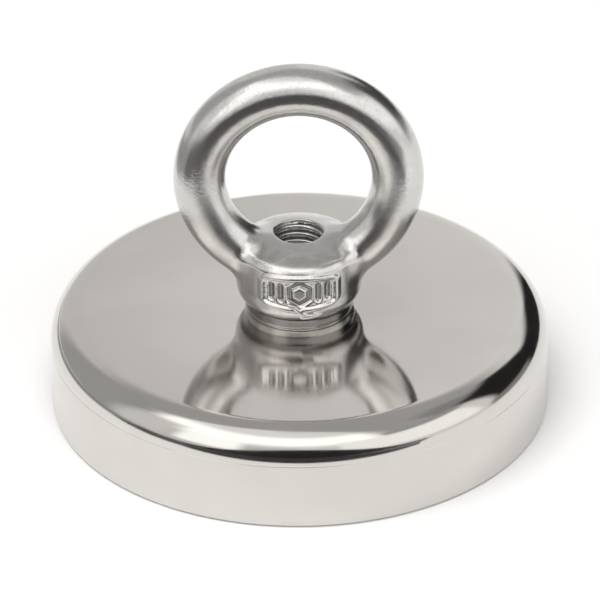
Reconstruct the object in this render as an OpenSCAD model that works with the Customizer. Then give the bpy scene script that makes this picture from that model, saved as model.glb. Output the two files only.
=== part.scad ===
// Pot magnet with a screwed-on lifting eye nut, for magnet fishing.
// Frame: the pot's axis is Z and its magnetic face lies at z = 0. The eye stands
// above it in the XZ plane, so that a rope passes through it along Y.

/* [Pot] */
// Outside diameter of the steel pot
pot_d = 90; // [74:1:110]
// Height of the pot from its magnetic face to its top face
pot_h = 18.9; // [15:0.1:24]
// Radius of the rounded top edge
edge_r = 6; // [3:0.5:7]
// Thickness of the wall around the magnet
wall_t = 6; // [4:0.5:7.5]
// Thickness of the floor that the magnet is bonded to
floor_t = 8.4; // [7:0.1:10.4]
// Chamfer on the edges of the rim
rim_c = 0.5; // [0.2:0.1:0.8]

/* [Magnet] */
// Width of bare floor between the screw's countersink and the magnet's hole
bare_floor_w = 1.75; // [0.75:0.25:3]
// Chamfer on the edges of the ring magnet
magnet_c = 0.6; // [0.2:0.1:1]
// Depth of the magnet's face behind the rim
face_recess = 0.3; // [0.1:0.1:0.6]
// Width of the resin-filled gap between magnet and wall
resin_w = 1.5; // [0.8:0.1:2.5]
// Depth of the resin's surface behind the magnet's face
resin_dip = 0.2; // [0:0.05:0.5]
// Thickness of the adhesive between magnet and floor
bond_t = 0.2; // [0.1:0.05:0.4]

/* [Screw] */
// Nominal diameter of the thread
thread_d = 10; // [8:1:12]
// Climb of the thread in one turn
thread_pitch = 1.5; // [1:0.25:2]
// Diameter of the countersunk head
head_d = 20; // [18:0.5:21]
// Height of the straight land around the head
head_land = 0.4; // [0.2:0.1:0.8]
// Width of the hex socket across its flats
socket_af = 6; // [5:1:7]
// Depth of the hex socket
socket_depth = 3.6; // [3:0.1:4.2]
// Length of screw that stands above the pot inside the eye nut
engaged_l = 8; // [6:0.5:11]

/* [Eye nut] */
// Clear diameter of the eye
eye_id = 26.1; // [22:0.1:32]
// Diameter of the bar that forms the eye
bar_d = 9.3; // [7:0.1:11]
// Diameter of the turned foot
foot_d = 19.6; // [18:0.2:21]
// Height of the turned foot
foot_h = 3.2; // [2.5:0.1:4]
// Height of the steep chamfer around the bottom of the foot
foot_c = 0.9; // [0.4:0.1:1.2]
// Largest diameter of the boss, at its belly
boss_d = 22.5; // [21.6:0.1:25]
// Radius of the belly's rounding
belly_r = 3; // [2.2:0.1:3.6]
// Height of the belly above the foot's top
belly_h = 2; // [1.5:0.1:2.1]
// Diameter of the boss under its top edge
boss_top_d = 21.6; // [20.6:0.1:21.6]
// Height of the nut beside its threaded hole
boss_h = 15.2; // [14:0.1:18]
// How far the crowned top has fallen where it meets the rounded top edge
crown_drop = 1.6; // [0.6:0.1:1.6]
// Radius of the boss's top edge
boss_edge_r = 1.2; // [0.5:0.1:1.8]
// How far the eye's lowest inside point lies under the nut's top
eye_sink = 1.65; // [0.8:0.05:2.5]
// Width of the raised panel on the front of the boss
panel_w = 14.4; // [10:0.2:15]
// Height of the raised panel
panel_h = 7.4; // [5:0.1:7.6]
// Height of the panel's middle above the bottom of the foot
panel_z = 8.9; // [8.4:0.1:9.4]
// How far the panel stands out of the boss's belly
panel_out = 0.2; // [0.1:0.05:0.5]
// Corner radius of the panel
panel_r = 1.4; // [0.5:0.1:1.8]

/* [Clearances] */
// Radial gap between the screw and the hole through the pot
hole_clear = 0.25; // [0.1:0.05:0.6]
// Gap along the axis between the screw's head and its seat
seat_clear = 0.15; // [0.1:0.05:0.3]
// Radial gap between the screw's thread and the nut's thread
thread_clear = 0.05; // [0.02:0.01:0.1]

/* [Hidden] */

// Pot
pot_r = pot_d / 2;
cavity_r = pot_r - wall_t;
floor_z = pot_h - floor_t;

// Screw, whose head is sunk in the floor's countersink
shank_r = thread_d / 2;
head_r = head_d / 2;
cone_h = head_r - shank_r;
hole_r = shank_r + hole_clear;
mouth_r = head_r + hole_clear;
seat_h = mouth_r - hole_r;
land_h = head_land + seat_clear;
screw_tip_z = pot_h + engaged_l;
socket_r = socket_af / 2 / cos(30);
drill_point_h = socket_af / 2 * tan(30);

// Thread, drawn as a plain cylinder at the mean of its crests and roots
thread_depth = thread_pitch * 0.61;
thread_r = shank_r - thread_depth / 2;
neck_top_z = pot_h - thread_pitch / 2;
tip_c = thread_pitch * 0.6;

// Magnet, bonded to the floor around the countersink
magnet_r = cavity_r - resin_w;
magnet_hole_r = mouth_r + bare_floor_w;
magnet_top = floor_z - bond_t;
resin_face_z = face_recess + magnet_c + resin_dip;

// Eye nut, seated on the pot's top face
nut_z = pot_h;
bar_r = bar_d / 2;
eye_r = eye_id / 2;
ring_r = eye_r + bar_r;
eye_centre_z = boss_h - eye_sink + eye_r;
foot_r = foot_d / 2;
foot_run = foot_c * 0.45;
boss_r = boss_d / 2;
boss_top_r = boss_top_d / 2;
belly_z = foot_h + belly_h;
nut_hole_r = thread_r + thread_clear;
nut_lead_in = thread_pitch * 0.2;

// Where the crowned top runs into the rounding of the boss's top edge
crown_a = 18;
edge_centre_r = boss_top_r - boss_edge_r;
edge_centre_z = boss_h - crown_drop - boss_edge_r * cos(crown_a);
crown_end_r = edge_centre_r + boss_edge_r * sin(crown_a);

// Rounds of turned shapes
$fn = 128;
// Length by which a cut runs past the face that it opens
past = 1;

// A turned part from its half outline, as [radius, height] points
module turned(outline) {
    rotate_extrude() polygon(outline);
}

// A plain ring with both edges of each face chamfered
module chamfered_ring(outer_r, inner_r, low_z, high_z, edge_c) {
    turned([
        [inner_r, low_z + edge_c], [inner_r + edge_c, low_z],
        [outer_r - edge_c, low_z], [outer_r, low_z + edge_c],
        [outer_r, high_z - edge_c], [outer_r - edge_c, high_z],
        [inner_r + edge_c, high_z], [inner_r, high_z - edge_c]
    ]);
}

// Half outline of the pot's outside, with the true arc of its rounded edge
module pot_outline() {
    polygon([
        [0, 0], [pot_r - rim_c, 0], [pot_r, rim_c],
        [pot_r, pot_h - edge_r], [pot_r - edge_r, pot_h], [0, pot_h]
    ]);
    intersection() {
        translate([pot_r - edge_r, pot_h - edge_r]) circle(edge_r);
        translate([pot_r - edge_r, pot_h - edge_r]) square(edge_r);
    }
}

// Half outline of what is turned out of the pot: the magnet's cavity, the countersink and the screw's hole
module pot_bore_outline() {
    polygon([
        [0, -past], [cavity_r + rim_c + past, -past], [cavity_r + rim_c, 0],
        [cavity_r, rim_c], [cavity_r, floor_z],
        [mouth_r, floor_z], [mouth_r, floor_z + land_h],
        [hole_r, floor_z + land_h + seat_h],
        [hole_r, pot_h + past], [0, pot_h + past]
    ]);
}

// The nickel-plated steel cup
module pot_shell() {
    color([0.74, 0.72, 0.69])
    rotate_extrude()
    difference() {
        pot_outline();
        pot_bore_outline();
    }
}

// The adhesive that holds the magnet to the floor
module bond_layer() {
    color([0.10, 0.10, 0.11])
    turned([
        [magnet_hole_r, magnet_top], [magnet_r, magnet_top],
        [magnet_r, floor_z], [magnet_hole_r, floor_z]
    ]);
}

// The plated neodymium ring
module ring_magnet() {
    color([0.78, 0.77, 0.75])
    chamfered_ring(magnet_r, magnet_hole_r, face_recess, magnet_top, magnet_c);
}

// The resin poured between the magnet and the wall
module resin_ring() {
    color([0.05, 0.05, 0.06])
    turned([
        [magnet_r, resin_face_z], [cavity_r, resin_face_z],
        [cavity_r, floor_z], [magnet_r, floor_z]
    ]);
}

// The M10 screw that holds the eye nut, with its socket open towards the magnetic face
module countersunk_screw() {
    color([0.70, 0.70, 0.71])
    difference() {
        turned([
            [0, floor_z], [head_r, floor_z], [head_r, floor_z + head_land],
            [shank_r, floor_z + head_land + cone_h], [shank_r, neck_top_z],
            [thread_r, neck_top_z], [thread_r, screw_tip_z - tip_c],
            [thread_r - tip_c, screw_tip_z], [0, screw_tip_z]
        ]);
        translate([0, 0, floor_z - past]) cylinder(h = socket_depth + past, r = socket_r, $fn = 6);
        translate([0, 0, floor_z + socket_depth])
            cylinder(h = drill_point_h, r1 = socket_af / 2, r2 = 0);
    }
}

// Half outline of the nut's turned foot, belly and crowned top
module boss_outline() {
    polygon([
        [0, 0], [foot_r - foot_run, 0], [foot_r, foot_c], [foot_r, foot_h],
        [boss_r - belly_r, foot_h], [boss_r - belly_r, belly_z], [boss_r, belly_z],
        [boss_top_r, edge_centre_z], [crown_end_r, boss_h - crown_drop],
        [nut_hole_r, boss_h], [0, boss_h]
    ]);
    intersection() {
        translate([boss_r - belly_r, belly_z]) circle(belly_r);
        translate([boss_r - belly_r, foot_h]) square([belly_r, belly_h]);
    }
    intersection() {
        translate([edge_centre_r, edge_centre_z]) circle(boss_edge_r);
        translate([edge_centre_r, edge_centre_z]) square(boss_edge_r);
    }
}

// The turned foot and the cast boss above it
module nut_boss() {
    rotate_extrude() boss_outline();
}

// The eye itself, a round bar bent into a ring
module nut_eye() {
    translate([0, 0, eye_centre_z])
        rotate([90, 0, 0])
            rotate_extrude() translate([ring_r, 0]) circle(bar_r);
}

// A flat blank with rounded corners, standing upright and pointing to the front
module panel_blank() {
    half_w = panel_w / 2 - panel_r;
    half_h = panel_h / 2 - panel_r;
    rotate([90, 0, 0]) {
        translate([-panel_w / 2, -half_h, 0]) cube([panel_w, 2 * half_h, boss_d]);
        translate([-half_w, -panel_h / 2, 0]) cube([2 * half_w, panel_h, boss_d]);
        for (x = [-half_w, half_w], z = [-half_h, half_h])
            translate([x, z, 0]) cylinder(h = boss_d, r = panel_r);
    }
}

// The raised panel, which follows the round of the boss
module nut_panel() {
    translate([0, 0, panel_z])
    intersection() {
        panel_blank();
        translate([0, 0, -panel_h]) cylinder(h = 2 * panel_h, r = boss_r + panel_out);
    }
}

// The threaded hole through the boss, with a lead-in at both ends
module nut_hole() {
    lead_r = nut_hole_r + nut_lead_in;
    translate([0, 0, -past]) cylinder(h = boss_h + 2 * past, r = nut_hole_r);
    translate([0, 0, -past]) cylinder(h = nut_lead_in + past, r1 = lead_r + past, r2 = nut_hole_r);
    translate([0, 0, boss_h - nut_lead_in])
        cylinder(h = nut_lead_in + past, r1 = nut_hole_r, r2 = lead_r + past);
}

// The lifting eye nut
module eye_nut() {
    color([0.72, 0.72, 0.72])
    translate([0, 0, nut_z])
    difference() {
        union() {
            nut_boss();
            nut_eye();
            nut_panel();
        }
        nut_hole();
    }
}

pot_shell();
bond_layer();
ring_magnet();
resin_ring();
countersunk_screw();
eye_nut();
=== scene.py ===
import math

import bpy
import numpy as np
from mathutils import Matrix, Vector


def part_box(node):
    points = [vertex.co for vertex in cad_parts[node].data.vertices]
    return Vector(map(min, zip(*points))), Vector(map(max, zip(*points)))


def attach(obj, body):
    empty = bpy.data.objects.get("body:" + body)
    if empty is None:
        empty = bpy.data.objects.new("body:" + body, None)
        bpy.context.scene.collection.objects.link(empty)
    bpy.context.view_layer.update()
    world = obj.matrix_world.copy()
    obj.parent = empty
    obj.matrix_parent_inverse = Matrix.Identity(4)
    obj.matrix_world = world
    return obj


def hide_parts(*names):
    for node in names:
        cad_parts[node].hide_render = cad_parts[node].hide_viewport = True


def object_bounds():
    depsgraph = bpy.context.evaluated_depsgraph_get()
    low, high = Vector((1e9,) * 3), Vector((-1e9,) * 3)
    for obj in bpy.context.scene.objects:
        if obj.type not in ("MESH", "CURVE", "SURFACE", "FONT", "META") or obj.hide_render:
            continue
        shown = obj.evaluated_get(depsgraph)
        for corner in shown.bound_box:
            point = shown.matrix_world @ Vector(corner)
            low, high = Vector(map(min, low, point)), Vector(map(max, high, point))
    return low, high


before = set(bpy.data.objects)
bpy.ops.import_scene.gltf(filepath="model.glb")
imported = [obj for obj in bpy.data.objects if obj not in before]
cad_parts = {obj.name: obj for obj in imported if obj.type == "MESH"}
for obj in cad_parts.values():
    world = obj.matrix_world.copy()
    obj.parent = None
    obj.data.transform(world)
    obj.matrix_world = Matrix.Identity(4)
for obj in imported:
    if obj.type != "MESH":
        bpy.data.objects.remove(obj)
cad_low, cad_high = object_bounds()

# Shapes are worked out in millimetres, in the frame's axes, and scaled to metres when a mesh is made.
MM = 0.001


def box_mm(node):
    """Lowest and highest corner of a CAD node, in millimetres."""
    low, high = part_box(node)
    return np.array(low) / MM, np.array(high) / MM


# ---------------------------------------------------------------- sizes, from the frame's boxes
pot_high = box_mm("pot_shell")[1]
magnet_low, magnet_high = box_mm("ring_magnet")
resin_low, resin_high = box_mm("resin_ring")
bond_low, bond_high = box_mm("bond_layer")
screw_low, screw_high = box_mm("countersunk_screw")
nut_low, nut_high = box_mm("eye_nut")

POT_R, POT_H = pot_high[0], pot_high[2]
CAVITY_R = resin_high[0]
FLOOR_Z = resin_high[2]
MAGNET_R = magnet_high[0]
HEAD_R, HEAD_Z, TIP_Z = screw_high[0], screw_low[2], screw_high[2]
NUT_Z = nut_low[2]

# Sizes of the pot and the magnet that the boxes don't hold
EDGE_R = 6.0            # the pot's rounded top edge
RIM_C = 0.5             # chamfers of the pot's rim
MOUTH_R = 10.25         # the countersink's mouth in the pot's floor
HOLE_R = 5.25           # the screw's hole through the pot
SEAT_H = 0.55           # the straight wall at the countersink's mouth
SEAM_Z = 12.6           # the fine turned line where the rounded edge begins
SEAM_DEPTH = 0.03
MAGNET_HOLE_R = 12.0
MAGNET_C = 0.6          # chamfers of the magnet

# Sizes of the screw and its thread
SHANK_R = 5.0
HEAD_LAND = 0.4         # the straight rim of the head
SOCKET_APOTHEM = 3.0
SOCKET_DEPTH = 3.6
PITCH = 1.5
THREAD_ROOT_R = 4.08
THREAD_DEPTH = 0.86

# Sizes of the eye nut. Its heights start at the bottom of its foot.
THREAD_CLEAR = 0.1      # gap between the nut's thread and the screw's
NUT_THREAD_R = 4.25     # the crests of the nut's own thread
NUT_MOUTH_R = 4.4       # the hole's mouth in the foot
MOUTH_BREAK = 0.15      # how much wider both mouths are cut just outside the metal
BAR_R = 4.65
RING_R = nut_high[0] - BAR_R
EYE_Z = nut_high[2] - NUT_Z - BAR_R - RING_R
EYE_FILLET = 2.6        # how softly the ring runs into the boss
FOOT_R, FOOT_H, FOOT_ROUND = 9.8, 3.2, 0.12
FLARE_Z = 0.9           # under this height the foot draws in
FLARE_COS, FLARE_SIN = 0.912, 0.41       # the way that sloping face looks
BELLY_R, BELLY_Z, BELLY_ROUND = 11.25, 5.2, 3.0
BOSS_TOP_R, BOSS_TOP_Z, TOP_ROUND = 10.8, 12.96, 1.0
BOSS_H = 15.2           # where the hole's upper mouth begins to open
CROWN_TOP = 15.82       # the crown's height over the axis
CROWN_FALL = 0.0235     # its fall for each radius squared

# The raised panel on the boss's front. Its own heights start at its middle.
PANEL_Z, PANEL_HALF_W, PANEL_HALF_H, PANEL_ROUND = 8.6, 7.2, 3.5, 1.6
PANEL_R = 11.17         # how far the middle of its face stands from the axis
PANEL_LEAN = 0.085      # how far it leans back for each step up
PANEL_SAG = 0.45        # how much its lower corners are drawn up
PANEL_DIP = 0.15        # how much its upper corners are drawn down
PANEL_FRONT_Y = -4      # nothing of it lies behind this
FRAME_INSET, FRAME_HALF = 0.45, 0.55     # the frame's middle, from the panel's edge, and its half width
MARK_HALF = 0.5         # half width of the grooves
HEXAGON_APOTHEM = 1.75
MARK_BARS = (-5.0, -3.4, 3.4, 5.0)
MARK_LOW, MARK_HIGH = -1.25, 1.5
# Corners of the casting's crease and lip, across and up
CREASE = [(-1.9, -2.1), (-0.9, -2.3), (-0.1, -3.1), (0.9, -3.9), (2.3, -4.2)]
CREASE_R = 0.32
LIP = [(0.6, -4.9), (3.9, -5.1)]
LIP_R = 0.42


# ---------------------------------------------------------------- meshes
def make_object(name, points, faces, material, body, nodes, sharp=math.radians(35)):
    """A smooth-shaded piece that stands for CAD nodes and rides on their body."""
    mesh = bpy.data.meshes.new(name)
    mesh.from_pydata((np.asarray(points) * MM).tolist(), [], [list(f) for f in faces])
    mesh.validate()
    mesh.shade_smooth()
    mesh.set_sharp_from_angle(angle=sharp)
    mesh.materials.append(material)
    piece = bpy.data.objects.new(name, mesh)
    bpy.context.scene.collection.objects.link(piece)
    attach(piece, body)
    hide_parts(*nodes)
    return piece


def rounded(corners):
    """A closed outline through (radius, height, rounding) corners, each rounded by its own true arc."""
    outline = []
    count = len(corners)
    arc_steps = 10
    for i, (r, z, rounding) in enumerate(corners):
        here = np.array([r, z])
        to_last = np.array(corners[i - 1][:2]) - here
        to_next = np.array(corners[(i + 1) % count][:2]) - here
        to_last /= np.linalg.norm(to_last)
        to_next /= np.linalg.norm(to_next)
        half = math.acos(np.clip(to_last @ to_next, -1, 1)) / 2
        start = here + to_last * rounding / math.tan(half)
        middle = to_last + to_next
        centre = here + middle / np.linalg.norm(middle) * rounding / math.sin(half)
        sweep = math.pi - 2 * half
        turn = np.sign((-to_last)[0] * to_next[1] - (-to_last)[1] * to_next[0])
        steps = max(3, round(sweep * arc_steps * math.sqrt(max(rounding, 0.1))))
        for step in range(steps + 1):
            angle = turn * sweep * step / steps
            c, s = math.cos(angle), math.sin(angle)
            arm = start - centre
            outline.append(centre + [c * arm[0] - s * arm[1], s * arm[0] + c * arm[1]])
    return np.array(outline)


def spun(outline, columns, shape=None, closed=True):
    """Points and quads of an outline turned about Z. shape(r, z, angle) may move the points.
    An open outline starts and ends on the axis."""
    angle = np.arange(columns) * 2 * math.pi / columns
    r = np.repeat(outline[:, :1], columns, 1)
    z = np.repeat(outline[:, 1:], columns, 1)
    angle = np.repeat(angle[None], len(outline), 0)
    if shape:
        r, z = shape(r, z, angle)
    points = np.stack([r * np.cos(angle), r * np.sin(angle), z], -1)
    rows = len(outline)
    faces = []
    for i in range(rows if closed else rows - 1):
        low, high = i * columns, (i + 1) % rows * columns
        faces += [
            (low + j, low + (j + 1) % columns, high + (j + 1) % columns, high + j)
            for j in range(columns)
        ]
    points = points.reshape(-1, 3)
    if closed:
        return points, faces
    first, last = points[0], points[(rows - 1) * columns]
    points = np.vstack([points[columns:(rows - 1) * columns], first, last])
    ends = len(points) - 2, len(points) - 1
    kept = []
    for face in faces:
        row = [v // columns for v in face]
        moved = [
            ends[0] if k == 0 else ends[1] if k == rows - 1 else v - columns
            for k, v in zip(row, face)
        ]
        kept.append(list(dict.fromkeys(moved)))
    return points, kept


def thread_height(z, angle):
    """The right-handed thread's ridge, 0 to 1, at a height along its axis and an angle about it."""
    half_root, flank = 0.375, 0.3125    # as shares of the pitch
    phase = (z / PITCH - angle / (2 * math.pi)) % 1
    from_crest = np.minimum(phase, 1 - phase)
    return np.clip((half_root - from_crest) / flank, 0, 1)


# ---------------------------------------------------------------- the eye nut, as a distance field
def round_max(a, b, radius):
    """The overlap of two fields, with its edge rounded."""
    return np.minimum(np.maximum(a, b), -radius) + np.hypot(
        np.maximum(a + radius, 0), np.maximum(b + radius, 0)
    )


def smooth_min(a, b, blend):
    """Two fields joined with a fillet."""
    share = np.maximum(blend - np.abs(a - b), 0) / blend
    return np.minimum(a, b) - share * share * blend / 4


def rounded_box(x, z, half_w, half_h, rounding):
    dx, dz = np.abs(x) - half_w + rounding, np.abs(z) - half_h + rounding
    outside = np.hypot(np.maximum(dx, 0), np.maximum(dz, 0))
    return outside + np.minimum(np.maximum(dx, dz), 0) - rounding


def hexagon(x, z, apothem):
    x, z = np.abs(x), np.abs(z)
    return np.maximum(x * 0.5 + z * math.sqrt(0.75), x) - apothem


def path(x, z, corners):
    """Distance to the straight stretches between corners."""
    nearest = np.full_like(x, 1e3)
    for (x0, z0), (x1, z1) in zip(corners, corners[1:]):
        dx, dz = x1 - x0, z1 - z0
        t = np.clip(((x - x0) * dx + (z - z0) * dz) / (dx * dx + dz * dz), 0, 1)
        nearest = np.minimum(nearest, np.hypot(x - x0 - t * dx, z - z0 - t * dz))
    return nearest


def boss_field(r, z):
    """The turned foot, the round belly and the crowned top."""
    taper = (BELLY_R - BOSS_TOP_R) / (BOSS_TOP_Z - BELLY_Z)
    wall = (r - BELLY_R + taper * (z - BELLY_Z)) / math.hypot(1, taper)
    slope = 2 * CROWN_FALL * np.minimum(r, BELLY_R)
    crown = (z - CROWN_TOP + CROWN_FALL * r * r) / np.hypot(1, slope)
    boss = round_max(wall, BELLY_Z - BELLY_ROUND - z, BELLY_ROUND)
    boss = round_max(boss, crown, TOP_ROUND)
    flare = FLARE_COS * (r - FOOT_R) - FLARE_SIN * (z - FLARE_Z)
    foot = round_max(np.maximum(r - FOOT_R, flare), -z, FOOT_ROUND)
    foot = np.maximum(foot, z - BELLY_Z)
    return smooth_min(foot, boss, 0.35)


def relief_field(boss, x, y, z, r):
    """Adds the front's raised panel and frame to the boss, cuts a hexagon between bars into it as grooves,
    and adds the casting's crease and lip."""
    z = z - PANEL_Z
    z = z * (1 + np.where(z < 0, PANEL_SAG, PANEL_DIP) * (x / PANEL_HALF_W) ** 2)
    front = y - PANEL_FRONT_Y
    proud = r - PANEL_R + PANEL_LEAN * z
    panel = rounded_box(x, z, PANEL_HALF_W, PANEL_HALF_H, PANEL_ROUND)
    plateau = round_max(panel, proud, 0.15)
    frame_line = np.hypot(panel + FRAME_INSET, 1.2 * (proud + 0.1)) - FRAME_HALF
    solid = smooth_min(boss, np.maximum(plateau, front), 0.3)
    solid = smooth_min(solid, np.maximum(frame_line, front), 0.2)
    marks = np.abs(hexagon(x, z, HEXAGON_APOTHEM))
    for place in MARK_BARS:
        marks = np.minimum(marks, path(x, z, [(place, MARK_LOW), (place, MARK_HIGH)]))
    groove = np.hypot(marks, 0.9 * (proud - 0.05)) - MARK_HALF
    solid = -smooth_min(-solid, np.maximum(groove, front), 0.45)
    crease = np.hypot(path(x, z, CREASE), proud - 0.15) - CREASE_R
    solid = smooth_min(solid, np.maximum(crease, front), 0.2)
    lip = np.hypot(path(x, z, LIP), r - BELLY_R + 0.5) - LIP_R
    return smooth_min(solid, np.maximum(lip, front), 0.3)


def nut_field(p):
    """Distance to the nut's surface, below zero inside it. Heights start at the bottom of its foot."""
    x, y, z = p[:, 0], p[:, 1], p[:, 2]
    r = np.hypot(x, y)
    eye = np.hypot(np.hypot(x, z - EYE_Z) - RING_R, y) - BAR_R
    solid = smooth_min(relief_field(boss_field(r, z), x, y, z, r), eye, EYE_FILLET)
    thread_left = np.clip((BOSS_H - 0.1 - z) / 0.8, 0, 1)    # the thread runs out under the upper mouth
    ridge = thread_height(z + NUT_Z, np.arctan2(y, x)) * thread_left
    hole = np.clip(THREAD_ROOT_R + THREAD_DEPTH * ridge + THREAD_CLEAR, NUT_THREAD_R, None)
    mouth = NUT_MOUTH_R + MOUTH_BREAK
    lead_in = mouth - np.minimum(BOSS_H + 0.3 - z, z + MOUTH_BREAK)
    hole = np.maximum(hole, np.minimum(lead_in, mouth))
    hole_top = BOSS_H + 1.5     # over the crown, short of the ring's top
    return round_max(solid, np.minimum((hole - r) * 0.8, hole_top - z), 0.08)


def surface_net(field, axes):
    """Points and quads of the surface where field is zero, one point in each grid cell it crosses."""
    grid = np.stack(np.meshgrid(*axes, indexing="ij"), -1)
    value = np.stack([field(slab.reshape(-1, 3)).reshape(slab.shape[:-1]) for slab in grid])
    shape = value.shape
    cells = tuple(n - 1 for n in shape)
    total, count = np.zeros(cells + (3,)), np.zeros(cells)
    crossings = []
    for axis in range(3):
        u, v = (axis + 1) % 3, (axis + 2) % 3
        first = np.moveaxis(np.moveaxis(value, axis, 0)[:-1], 0, axis)
        second = np.moveaxis(np.moveaxis(value, axis, 0)[1:], 0, axis)
        crossed = (first < 0) != (second < 0)
        share = first / np.where(crossed, first - second, 1)
        crossings.append((crossed, first))
        for du in (0, 1):
            for dv in (0, 1):
                pick = [slice(None)] * 3
                pick[u], pick[v] = slice(du, du + cells[u]), slice(dv, dv + cells[v])
                hit = crossed[tuple(pick)]
                local = np.zeros(cells + (3,))
                local[..., axis] = share[tuple(pick)]
                local[..., u], local[..., v] = du, dv
                total += np.where(hit[..., None], local, 0)
                count += hit
    used = count > 0
    where = np.argwhere(used)
    index = np.full(cells, -1)
    index[used] = np.arange(len(where))
    offset = total[used] / count[used][:, None]
    points = np.stack(
        [a[where[:, k]] + offset[:, k] * np.diff(a)[where[:, k]] for k, a in enumerate(axes)], 1
    )
    quads = []
    for axis, (crossed, first) in enumerate(crossings):
        u, v = (axis + 1) % 3, (axis + 2) % 3
        edge = np.argwhere(crossed)
        corners = []
        for du, dv in ((1, 1), (0, 1), (0, 0), (1, 0)):
            cell = edge.copy()
            cell[:, u] -= du
            cell[:, v] -= dv
            corners.append(index[tuple(cell.T)])
        quad = np.stack(corners, 1)
        back = first[tuple(edge.T)] >= 0
        quad[back] = quad[back][:, ::-1]
        quads.append(quad)
    return points, np.vstack(quads)


def settle(points, field, rounds):
    """Moves each point onto the surface where field is zero."""
    probe, reach = 0.02, 0.2
    for _ in range(rounds):
        slope = np.stack(
            [(field(points + d) - field(points - d)) / (2 * probe) for d in np.eye(3) * probe], 1
        )
        step = field(points)[:, None] * slope / np.maximum((slope**2).sum(1), 0.2)[:, None]
        points = points - np.clip(step, -reach, reach)
    return points


def evened(points, quads):
    """Each point half way to the middle of its neighbours."""
    total, count = np.zeros_like(points), np.zeros(len(points))
    for k in range(4):
        a, b = quads[:, k], quads[:, (k + 1) % 4]
        for c in range(3):
            total[:, c] += np.bincount(a, points[b, c], len(points))
            total[:, c] += np.bincount(b, points[a, c], len(points))
        count += np.bincount(a, minlength=len(points)) + np.bincount(b, minlength=len(points))
    return (points + total / count[:, None]) / 2


def axis_steps(stretches):
    """Grid places along an axis, from (start, end, step) stretches that follow each other."""
    places = [
        np.linspace(low, high, max(1, round((high - low) / step)), endpoint=False)
        for low, high, step in stretches
    ]
    return np.append(np.concatenate(places), stretches[-1][1])


def eye_nut(material):
    """The casting, from a grid that is finest round the boss's front. Stretches are low, high and step."""
    margin = 0.6
    out, top = nut_high[0] + margin, nut_high[2] - NUT_Z + margin
    axes = [
        axis_steps([(-out, -7.8, 0.41), (-7.8, 7.8, 0.165), (7.8, out, 0.41)]),
        axis_steps([(-12.2, -8, 0.19), (-8, 12.0, 0.32)]),
        axis_steps([(-margin, 4, 0.23), (4, 13.4, 0.165), (13.4, 16, 0.23), (16, top, 0.43)]),
    ]
    points, quads = surface_net(nut_field, axes)
    points = settle(points, nut_field, 3)
    points = settle(evened(points, quads), nut_field, 3)
    points[:, 2] = np.clip(points[:, 2], 0, nut_high[2] - NUT_Z)
    points[:, 2] += NUT_Z
    return make_object(
        "eye_nut_cast", points, quads, material, "eye_nut", ["eye_nut"],
        sharp=math.radians(60),
    )


# ---------------------------------------------------------------- turned, poured and threaded pieces
def pot_shell(material):
    """The cup, with a fine turned line round its wall and the countersink in its floor."""
    seat_z = FLOOR_Z + SEAT_H
    seam_r = POT_R - SEAM_DEPTH
    outline = rounded([
        (HOLE_R, POT_H, 0.2), (POT_R, POT_H, EDGE_R),
        (POT_R, SEAM_Z + 0.08, 0.02), (seam_r, SEAM_Z + 0.03, 0.02),
        (seam_r, SEAM_Z - 0.03, 0.02), (POT_R, SEAM_Z - 0.08, 0.02),
        (POT_R, RIM_C, 0.3), (POT_R - RIM_C, 0, 0.3),
        (CAVITY_R + RIM_C, 0, 0.2), (CAVITY_R, RIM_C, 0.2), (CAVITY_R, FLOOR_Z, 0.4),
        (MOUTH_R, FLOOR_Z, 0.12), (MOUTH_R, seat_z, 0.12),
        (HOLE_R, seat_z + MOUTH_R - HOLE_R, 0.2),
    ])
    points, faces = spun(outline[::-1], 384)
    return make_object("pot_nickel", points, faces, material, "magnet", ["pot_shell"])


def ring_magnet(material):
    """The plated ring, chamfered all round."""
    low, high = magnet_low[2], magnet_high[2]
    outline = rounded([
        (MAGNET_HOLE_R, low + MAGNET_C, 0.3), (MAGNET_HOLE_R + MAGNET_C, low, 0.5),
        (MAGNET_R - MAGNET_C, low, 0.5), (MAGNET_R, low + MAGNET_C, 0.3),
        (MAGNET_R, high - MAGNET_C, 0.3), (MAGNET_R - MAGNET_C, high, 0.3),
        (MAGNET_HOLE_R + MAGNET_C, high, 0.3), (MAGNET_HOLE_R, high - MAGNET_C, 0.3),
    ])
    points, faces = spun(outline, 256)
    return make_object(
        "magnet_ring_plated", points, faces, material, "magnet", ["ring_magnet"]
    )


def resin_ring(material):
    """The poured resin. Its face is hollow between the walls it wets, and wanders round the ring."""
    face = resin_low[2] - 0.1
    hollow, wander = 0.3, 0.09
    middle_r = (MAGNET_R + CAVITY_R) / 2
    half = (CAVITY_R - MAGNET_R) / 2
    across = np.linspace(-1, 1, 17)
    surface = [(middle_r + half * t, face + hollow * (1 - t * t)) for t in across]
    outline = np.array([*surface, (CAVITY_R, FLOOR_Z), (MAGNET_R, FLOOR_Z)])

    def shape(r, z, angle):
        inside = np.clip(1 - ((r - middle_r) / half) ** 2, 0, 1) * (z < FLOOR_Z - 1)
        waves = 0.5 * np.sin(3 * angle + 1) + 0.3 * np.sin(7 * angle + 2.5) + 0.2 * np.sin(17 * angle)
        return r, z + wander * inside * waves

    points, faces = spun(outline, 384, shape)
    return make_object(
        "resin_meniscus", points, faces, material, "magnet", ["resin_ring"]
    )


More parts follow.
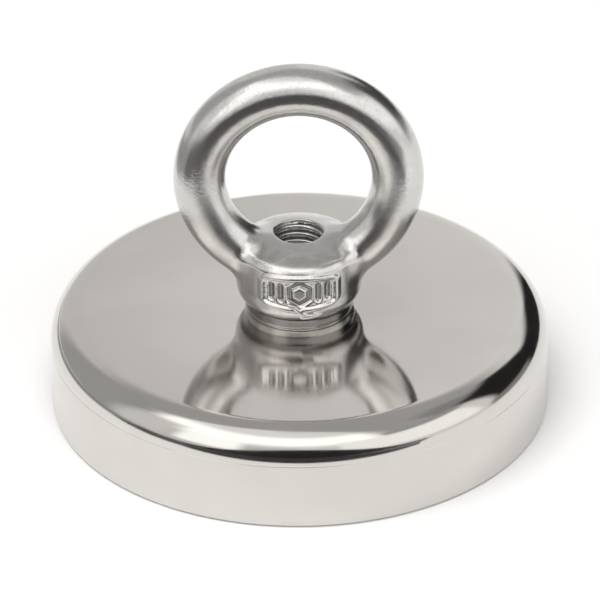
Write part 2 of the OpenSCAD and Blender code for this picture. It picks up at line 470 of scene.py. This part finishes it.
def bond_layer(material):
    """The thin adhesive, with an uneven bead that was pressed out into the magnet's hole."""
    low, high = bond_low[2], bond_high[2]
    bead_r, bead_z = MAGNET_HOLE_R - 0.5, low - 0.25
    outline = rounded([
        (bead_r, bead_z, 0.2), (MAGNET_HOLE_R + 0.15, bead_z, 0.05),
        (MAGNET_HOLE_R + 0.25, low, 0.03), (MAGNET_R, low, 0.03), (MAGNET_R, high, 0.03),
        (bead_r, high, 0.03),
    ])

    def shape(r, z, angle):
        waves = 0.5 * np.sin(5 * angle) + 0.3 * np.sin(11 * angle + 1) + 0.2 * np.sin(23 * angle + 2)
        return np.where(r < MAGNET_HOLE_R, r + 0.18 * waves, r), z

    points, faces = spun(outline, 256, shape)
    return make_object("bond_bead", points, faces, material, "magnet", ["bond_layer"])


def countersunk_screw(material):
    """The screw from the point drilled in its socket, out over its head and up to its tip."""
    socket_z = HEAD_Z + SOCKET_DEPTH
    drill_z = socket_z + SOCKET_APOTHEM * math.tan(math.radians(30))
    cone_z = HEAD_Z + HEAD_LAND + HEAD_R - SHANK_R
    start_z, end_z = NUT_Z - PITCH / 2, TIP_Z - 0.9
    # the socket's rows, each as a share of its apothem and a height
    hex_rows = [
        (1, socket_z - 0.05), (1, socket_z - 0.3), (1, HEAD_Z + 0.45),
        (1.07, HEAD_Z + 0.06), (1.1, HEAD_Z),
    ]
    head = [
        (HEAD_R - 2.5, HEAD_Z), (HEAD_R - 0.15, HEAD_Z), (HEAD_R - 0.04, HEAD_Z + 0.04),
        (HEAD_R, HEAD_Z + 0.15), (HEAD_R, HEAD_Z + HEAD_LAND),
        (HEAD_R - 0.08, HEAD_Z + HEAD_LAND + 0.1),
        (SHANK_R + 0.12, cone_z - 0.12), (SHANK_R, cone_z + 0.1), (SHANK_R, start_z - 0.6),
    ]
    thread = [(THREAD_ROOT_R, z) for z in np.linspace(start_z - 0.5, end_z, 90)]
    tip = [(THREAD_ROOT_R - 0.35, end_z + 0.4), (THREAD_ROOT_R - 0.9, TIP_Z), (0, TIP_Z)]
    outline = np.array([
        (0, drill_z), (SOCKET_APOTHEM * 0.98, socket_z + 0.02),
        *[(share * SOCKET_APOTHEM, z) for share, z in hex_rows], *head, *thread, *tip,
    ])
    hex_low, hex_high = 2, 2 + len(hex_rows)
    thread_low = hex_high + len(head)

    def shape(r, z, angle):
        corner = (angle % (math.pi / 3)) - math.pi / 6
        r[hex_low:hex_high] /= np.cos(corner[hex_low:hex_high])
        rows = slice(thread_low, thread_low + len(thread))
        fade_in = np.clip((z[rows] - start_z + 0.5) / 1.2, 0, 1)
        fade_out = np.clip((TIP_Z - z[rows]) / 1.5, 0, 1)
        ridge = thread_height(z[rows], angle[rows])
        neck = SHANK_R - THREAD_ROOT_R
        r[rows] += THREAD_DEPTH * ridge * fade_out * fade_in + neck * (1 - fade_in)
        return r, z

    points, faces = spun(outline, 192, shape, closed=False)
    return make_object(
        "screw_threaded", points, faces, material, "screw", ["countersunk_screw"]
    )


# ---------------------------------------------------------------- materials
class Nodes:
    """Short ways to add and link the nodes of one material or world."""

    def __init__(self, owner):
        owner.use_nodes = True
        self.tree = owner.node_tree
        self.tree.nodes.clear()

    def add(self, kind, settings=None, **inputs):
        node = self.tree.nodes.new(kind)
        for name, value in (settings or {}).items():
            setattr(node, name, value)
        for name, value in inputs.items():
            self.put(node.inputs[name.replace("_", " ")], value)
        return node

    def put(self, socket, value):
        if isinstance(value, bpy.types.NodeSocket):
            self.tree.links.new(value, socket)
        else:
            socket.default_value = value

    def math(self, operation, *values):
        node = self.tree.nodes.new("ShaderNodeMath")
        node.operation = operation
        for socket, value in zip(node.inputs, values):
            self.put(socket, value)
        return node.outputs[0]

    def ramp_range(self, value, low, high, to_low=0.0, to_high=1.0):
        node = self.add(
            "ShaderNodeMapRange", {"interpolation_type": "SMOOTHSTEP"},
            Value=value, From_Min=low, From_Max=high, To_Min=to_low, To_Max=to_high,
        )
        return node.outputs[0]

    def noise(self, vector, scale, detail=3.0, roughness=0.55):
        node = self.add(
            "ShaderNodeTexNoise", None, Vector=vector, Scale=scale, Detail=detail, Roughness=roughness
        )
        return node.outputs["Fac"]

    def mix(self, factor, first, second):
        node = self.add("ShaderNodeMix", {"data_type": "RGBA"})
        self.put(node.inputs["Factor"], factor)
        self.put(node.inputs["A"], first)
        self.put(node.inputs["B"], second)
        return node.outputs["Result"]

    def blend(self, factor, first, second):
        node = self.add("ShaderNodeMix", {"data_type": "FLOAT"})
        for name, value in (("Factor", factor), ("A", first), ("B", second)):
            self.put(node.inputs[name], value)
        return node.outputs["Result"]

    def bump(self, height, distance, strength, normal=None):
        node = self.add("ShaderNodeBump", None, Height=height, Distance=distance, Strength=strength)
        if normal is not None:
            self.put(node.inputs["Normal"], normal)
        return node.outputs["Normal"]


def shader(name):
    """A new material, its nodes, its principled shader and the object's coordinates in millimetres."""
    material = bpy.data.materials.new(name)
    nodes = Nodes(material)
    principled = nodes.add("ShaderNodeBsdfPrincipled")
    output = nodes.add("ShaderNodeOutputMaterial")
    nodes.put(output.inputs["Surface"], principled.outputs[0])
    place = nodes.add("ShaderNodeTexCoord").outputs["Object"]
    scaled = nodes.add("ShaderNodeVectorMath", {"operation": "SCALE"}, Vector=place, Scale=1 / MM)
    return material, nodes, principled, scaled.outputs[0]


def set_surface(nodes, principled, colour, roughness, normal, metallic=0.0):
    nodes.put(principled.inputs["Base Color"], colour)
    nodes.put(principled.inputs["Roughness"], roughness)
    nodes.put(principled.inputs["Normal"], normal)
    principled.inputs["Metallic"].default_value = metallic


def radius_of(nodes, place):
    """Distance from the Z axis, in millimetres, and the three coordinates."""
    parts = nodes.add("ShaderNodeSeparateXYZ", None, Vector=place).outputs
    flat = nodes.add("ShaderNodeCombineXYZ", None, X=parts[0], Y=parts[1], Z=0.0).outputs[0]
    length = nodes.add("ShaderNodeVectorMath", {"operation": "LENGTH"}, Vector=flat).outputs["Value"]
    return length, parts


def nickel_plate():
    """Bright nickel over a turned surface, whose fine rings blur reflections on the top face."""
    material, nodes, principled, place = shader("nickel_plate")
    radius, parts = radius_of(nodes, place)
    on_top = nodes.math(
        "MULTIPLY",
        nodes.ramp_range(radius, POT_R - EDGE_R + 0.3, POT_R - EDGE_R - 0.3),
        nodes.ramp_range(parts[2], POT_H - 0.4, POT_H - 0.1),
    )
    rings = nodes.add("ShaderNodeCombineXYZ", None, X=radius, Y=0.0, Z=parts[2]).outputs[0]
    turned = nodes.noise(rings, 4.0, 4.0, 0.7)
    broad = nodes.noise(place, 0.06, 2.0)
    smudge = nodes.noise(place, 0.35, 4.0, 0.6)
    rough_top = nodes.ramp_range(smudge, 0.3, 0.75, 0.08, 0.105)
    rough_side = nodes.ramp_range(smudge, 0.3, 0.75, 0.07, 0.1)
    rough = nodes.blend(on_top, rough_side, rough_top)
    colour = nodes.mix(
        nodes.ramp_range(broad, 0.35, 0.65), (0.67, 0.65, 0.622, 1), (0.645, 0.625, 0.598, 1)
    )
    depth = nodes.math("MULTIPLY", turned, nodes.math("ADD", nodes.math("MULTIPLY", on_top, 0.8), 0.2))
    set_surface(nodes, principled, colour, rough, nodes.bump(depth, 0.0000012, 0.5), metallic=1.0)
    tangent = nodes.add("ShaderNodeTangent", {"direction_type": "RADIAL", "axis": "Z"})
    nodes.put(principled.inputs["Tangent"], tangent.outputs[0])
    principled.inputs["Anisotropic"].default_value = 0.9
    principled.inputs["Anisotropic Rotation"].default_value = 0.25
    return material


def cast_stainless():
    """A tumbled and polished stainless casting with a fine pitted grain. Its foot is turned. Painted shade
    darkens the foot's straight wall under the belly, and the grooves of its panel."""
    material, nodes, principled, place = shader("cast_stainless")
    radius, parts = radius_of(nodes, place)
    grain = nodes.noise(place, 2.8, 3.0, 0.6)
    skin = nodes.noise(place, 0.55, 2.0, 0.5)
    patches = nodes.noise(place, 0.16, 3.0, 0.6)
    speckle = nodes.noise(place, 1.9, 2.0, 0.5)

    # the casting's colour
    pale, dull, speck = (0.69, 0.678, 0.664, 1), (0.63, 0.618, 0.604, 1), (0.42, 0.41, 0.4, 1)
    colour = nodes.mix(nodes.ramp_range(patches, 0.35, 0.65), pale, dull)
    colour = nodes.mix(nodes.ramp_range(speckle, 0.5, 0.72, 0.0, 0.25), colour, speck)

    # the turned foot, with painted shade on its straight wall under the belly
    foot_top = NUT_Z + FOOT_H
    turned = nodes.ramp_range(parts[2], foot_top + 0.15, foot_top - 0.15)
    shaded_over_flare = nodes.ramp_range(parts[2], NUT_Z + FLARE_Z - 0.1, NUT_Z + FLARE_Z + 0.1)
    colour = nodes.mix(nodes.math("MULTIPLY", turned, shaded_over_flare), colour, (0.26, 0.252, 0.245, 1))

    # painted shade: the grooves of the panel are painted darker, as shade in their recesses
    above_middle = nodes.math("SUBTRACT", parts[2], NUT_Z + PANEL_Z)
    proud = nodes.math("ADD", radius, nodes.math("MULTIPLY", above_middle, PANEL_LEAN))
    sunk_shade = nodes.ramp_range(proud, PANEL_R - 0.06, PANEL_R - 0.36)
    groove = nodes.math("MULTIPLY", sunk_shade, nodes.ramp_range(parts[1], -6, -7))
    from_middle = nodes.math("ABSOLUTE", above_middle)
    groove = nodes.math("MULTIPLY", groove, nodes.ramp_range(from_middle, 2.5, 2.1))
    colour = nodes.mix(groove, colour, (0.36, 0.35, 0.34, 1))

    rough = nodes.blend(turned, nodes.ramp_range(patches, 0.3, 0.7, 0.165, 0.225), 0.14)
    normal = nodes.bump(grain, 0.00005, 0.5, nodes.bump(skin, 0.00006, 0.35))
    set_surface(nodes, principled, colour, rough, normal, metallic=0.95)
    return material


def magnet_plate():
    """Satin nickel on ground magnet material."""
    material, nodes, principled, place = shader("magnet_plate")
    stretched = nodes.add("ShaderNodeMapping", None, Vector=place, Scale=(0.25, 6.0, 1.0)).outputs[0]
    scratch = nodes.noise(stretched, 0.9, 4.0, 0.6)
    cloud = nodes.noise(place, 0.12, 3.0)
    colour = nodes.mix(nodes.ramp_range(cloud, 0.35, 0.65), (0.70, 0.69, 0.67, 1), (0.62, 0.61, 0.59, 1))
    rough = nodes.ramp_range(scratch, 0.3, 0.7, 0.24, 0.36)
    set_surface(nodes, principled, colour, rough, nodes.bump(scratch, 0.000006, 0.5), metallic=1.0)
    return material


def screw_steel():
    """Zinc-plated steel with faint turning marks."""
    material, nodes, principled, place = shader("screw_steel")
    radius, parts = radius_of(nodes, place)
    rings = nodes.add("ShaderNodeCombineXYZ", None, X=radius, Y=0.0, Z=parts[2]).outputs[0]
    turned = nodes.noise(rings, 3.0, 3.0, 0.6)
    cloud = nodes.noise(place, 0.4, 3.0)
    colour = nodes.mix(nodes.ramp_range(cloud, 0.35, 0.65), (0.62, 0.63, 0.65, 1), (0.52, 0.53, 0.54, 1))
    rough = nodes.ramp_range(cloud, 0.3, 0.7, 0.26, 0.38)
    set_surface(nodes, principled, colour, rough, nodes.bump(turned, 0.000008, 0.5), metallic=1.0)
    return material


def black_resin():
    """Glossy poured epoxy with a few dull patches and tiny pits."""
    material, nodes, principled, place = shader("black_resin")
    cloud = nodes.noise(place, 0.5, 3.0)
    pits = nodes.noise(place, 2.2, 2.0)
    deep, dull = (0.012, 0.012, 0.013, 1), (0.03, 0.03, 0.032, 1)
    colour = nodes.mix(nodes.ramp_range(cloud, 0.4, 0.7), deep, dull)
    rough = nodes.ramp_range(cloud, 0.35, 0.7, 0.12, 0.3)
    set_surface(nodes, principled, colour, rough, nodes.bump(pits, 0.00004, 0.4))
    principled.inputs["IOR"].default_value = 1.54
    return material


def adhesive():
    """Cured adhesive, dark and rather dull."""
    material, nodes, principled, place = shader("adhesive")
    cloud = nodes.noise(place, 0.8, 3.0)
    colour = nodes.mix(cloud, (0.05, 0.05, 0.055, 1), (0.12, 0.12, 0.125, 1))
    rough = nodes.ramp_range(cloud, 0.3, 0.7, 0.4, 0.6)
    set_surface(nodes, principled, colour, rough, nodes.bump(cloud, 0.00005, 0.5))
    return material


# ---------------------------------------------------------------- studio
# Soft patches of the surroundings: middle and half width of the azimuth (0 is the front, 90 the right),
# lowest and highest elevation, radiance, and softness of the edges. Angles are in degrees.
PATCHES = [
    # the long box light overhead and to the front, further to the left than to the right
    (-27, 74, 31, 88, 1.0, 16),
    (-27, 68, 37, 64, 1.65, 12),
    # its lower end on the left
    (-42, 15, 9, 40, 1.5, 8),
    # the box light low on the right
    (52, 34, 6, 41, 1.25, 6),
    # the paler boards on the left
    (-78, 16, 4, 48, 0.8, 12),
    (-115, 26, -5, 55, 0.42, 14),
    # the black board on the right, towards the back, with its greyer top and foot
    (103, 20, 44, 62, 0.3, 12),
    (117, 21, 6, 48, 0.02, 7),
    (110, 18, -12, 9, 0.28, 6),
    (143, 20, -12, 28, 0.02, 8),
    # the dark gap between the two box lights
    (68, 24, 41, 49, 0.38, 5),
]


def studio_world():
    """Surroundings that depend on the direction alone: a pale room, dimmer overhead, and PATCHES."""
    world = bpy.data.worlds.new("studio")
    bpy.context.scene.world = world
    nodes = Nodes(world)
    parts = nodes.add(
        "ShaderNodeSeparateXYZ", None, Vector=nodes.add("ShaderNodeTexCoord").outputs["Generated"]
    ).outputs
    degree = math.degrees(1)
    azimuth = nodes.math(
        "MULTIPLY", nodes.math("ARCTAN2", parts[0], nodes.math("MULTIPLY", parts[1], -1.0)), degree
    )
    elevation = nodes.math("MULTIPLY", nodes.math("ARCSINE", parts[2]), degree)
    room = nodes.ramp_range(parts[0], -0.06, 0.06, 0.7, 0.86)
    overhead = 0.44
    level = nodes.blend(nodes.ramp_range(elevation, 37, 52), room, overhead)
    for middle, half, low, high, radiance, soft in PATCHES:
        off = nodes.math("ABSOLUTE", nodes.math("SUBTRACT", azimuth, float(middle)))
        inside = nodes.math(
            "MULTIPLY",
            nodes.ramp_range(off, half + soft / 2, half - soft / 2),
            nodes.math(
                "MULTIPLY",
                nodes.ramp_range(elevation, low - soft / 2, low + soft / 2),
                nodes.ramp_range(elevation, high + soft / 2, high - soft / 2),
            ),
        )
        level = nodes.blend(inside, level, radiance)
    background = nodes.add("ShaderNodeBackground", None, Color=(1.0, 0.992, 0.98, 1), Strength=level)
    output = nodes.add("ShaderNodeOutputWorld")
    nodes.put(output.inputs["Surface"], background.outputs[0])


def pale_floor():
    """A wide pale table under the object."""
    size = 2.5
    mesh = bpy.data.meshes.new("floor")
    corners = [(-size, -size, 0), (size, -size, 0), (size, size, 0), (-size, size, 0)]
    mesh.from_pydata(corners, [], [(0, 1, 2, 3)])
    material, nodes, principled, place = shader("floor_paper")
    tone = nodes.noise(place, 0.004, 2.0)
    colour = nodes.mix(tone, (0.92, 0.92, 0.92, 1), (0.94, 0.94, 0.94, 1))
    nodes.put(principled.inputs["Base Color"], colour)
    principled.inputs["Roughness"].default_value = 0.9
    principled.inputs["Specular IOR Level"].default_value = 0.1
    mesh.materials.append(material)
    floor = bpy.data.objects.new("floor", mesh)
    gap = 0.00002
    floor.location.z = cad_low.z - gap
    bpy.context.scene.collection.objects.link(floor)


# Strips of cloth on the table in front, from right to left and round to the left side: the two ends of the
# line where each strip begins, in metres, and its shade. CLOTH_END is where the last one ends.
CLOTH = [
    ((0.3, -0.2), (0.4, -1), 0.2),
    ((0.1, -0.1), (0.2, -1), 0.1),
    ((0.07, -0.077), (0.1, -1), 0.02),
    ((-0.07, -0.077), (-0.2, -1), 0.045),
    ((-0.093, -0.052), (-0.6, -1), 0.06),
    ((-0.118, -0.03), (-1.5, -0.6), 0.27),
]
CLOTH_END = ((-0.13, 0.25), (-1.5, 0.25))
BOARD_STRIP = 2     # the strip whose shade the board behind them has


def dark_room():
    """The dark side of the room in front: cloth on the table, and a board like a low hill standing on it.
    Only reflections see it."""
    lift = cad_low.z + 0.0005
    mesh = bpy.data.meshes.new("dark_room")
    points, faces, shades = [], [], []
    for near, far in [strip[:2] for strip in CLOTH] + [CLOTH_END]:
        points += [(*near, lift), (*far, lift)]
    for i in range(len(CLOTH)):
        faces.append((2 * i + 2, 2 * i, 2 * i + 1, 2 * i + 3))
        shades.append(i)
    board_y, board_low, board_high, spread = -0.27, 0.012, 0.107, 0.16
    board_left, board_right, posts = -0.9, 0.36, 64
    first = len(points)
    for x in np.linspace(board_left, board_right, posts):
        top = board_low + board_high * math.exp(-(x / spread) ** 2)
        points += [(x, board_y, 0), (x, board_y, top)]
    for i in range(first, first + 2 * (posts - 1), 2):
        faces.append((i, i + 2, i + 3, i + 1))
        shades.append(BOARD_STRIP)
    mesh.from_pydata(points, [], faces)
    for i, strip in enumerate(CLOTH):
        shade = strip[2]
        material, _, principled, _ = shader(f"cloth_{i}")
        principled.inputs["Base Color"].default_value = (shade, shade, shade, 1)
        principled.inputs["Roughness"].default_value = 1.0
        mesh.materials.append(material)
    for polygon, shade in zip(mesh.polygons, shades):
        polygon.material_index = shade
    room = bpy.data.objects.new("dark_room", mesh)
    bpy.context.scene.collection.objects.link(room)
    for ray in ("camera", "diffuse", "shadow", "transmission"):
        setattr(room, f"visible_{ray}", False)


def top_light():
    """A large soft light overhead, which reflections don't see."""
    light = bpy.data.lights.new("top_light", "AREA")
    light.shape, light.size, light.size_y = "RECTANGLE", 0.9, 0.7
    light.energy = 4.9
    light.color = (1.0, 0.995, 0.985)
    lamp = bpy.data.objects.new("top_light", light)
    lamp.location = (-0.15, -0.25, 1.0)
    lamp.rotation_euler = (Vector((0, 0, 0)) - lamp.location).to_track_quat("-Z", "Y").to_euler()
    lamp.visible_glossy = False
    bpy.context.scene.collection.objects.link(lamp)


def camera():
    """The camera in front and above, turned down to the object and rolled a little."""
    pitch, yaw, roll = math.radians(30.894), math.radians(0.006), math.radians(-0.415)
    ahead = Vector((math.sin(yaw) * math.cos(pitch), math.cos(yaw) * math.cos(pitch), -math.sin(pitch)))
    right = ahead.cross(Vector((0, 0, 1))).normalized()
    up = right.cross(ahead)
    side = math.cos(roll) * right + math.sin(roll) * up
    top = -math.sin(roll) * right + math.cos(roll) * up
    data = bpy.data.cameras.new("camera")
    data.lens, data.sensor_width = 378.66, 36.0
    data.clip_start, data.clip_end = 0.05, 20.0
    view = bpy.data.objects.new("camera", data)
    place = Matrix((side, top, -ahead)).transposed().to_4x4()
    place.translation = Vector((0, -0.97731, 0.60462))
    view.matrix_world = place
    bpy.context.scene.collection.objects.link(view)
    bpy.context.scene.camera = view


camera()
bpy.context.scene.view_settings.view_transform = "Standard"
studio_world()
pale_floor()
dark_room()
top_light()
pot_shell(nickel_plate())
ring_magnet(magnet_plate())
resin_ring(black_resin())
bond_layer(adhesive())
countersunk_screw(screw_steel())
eye_nut(cast_stainless())
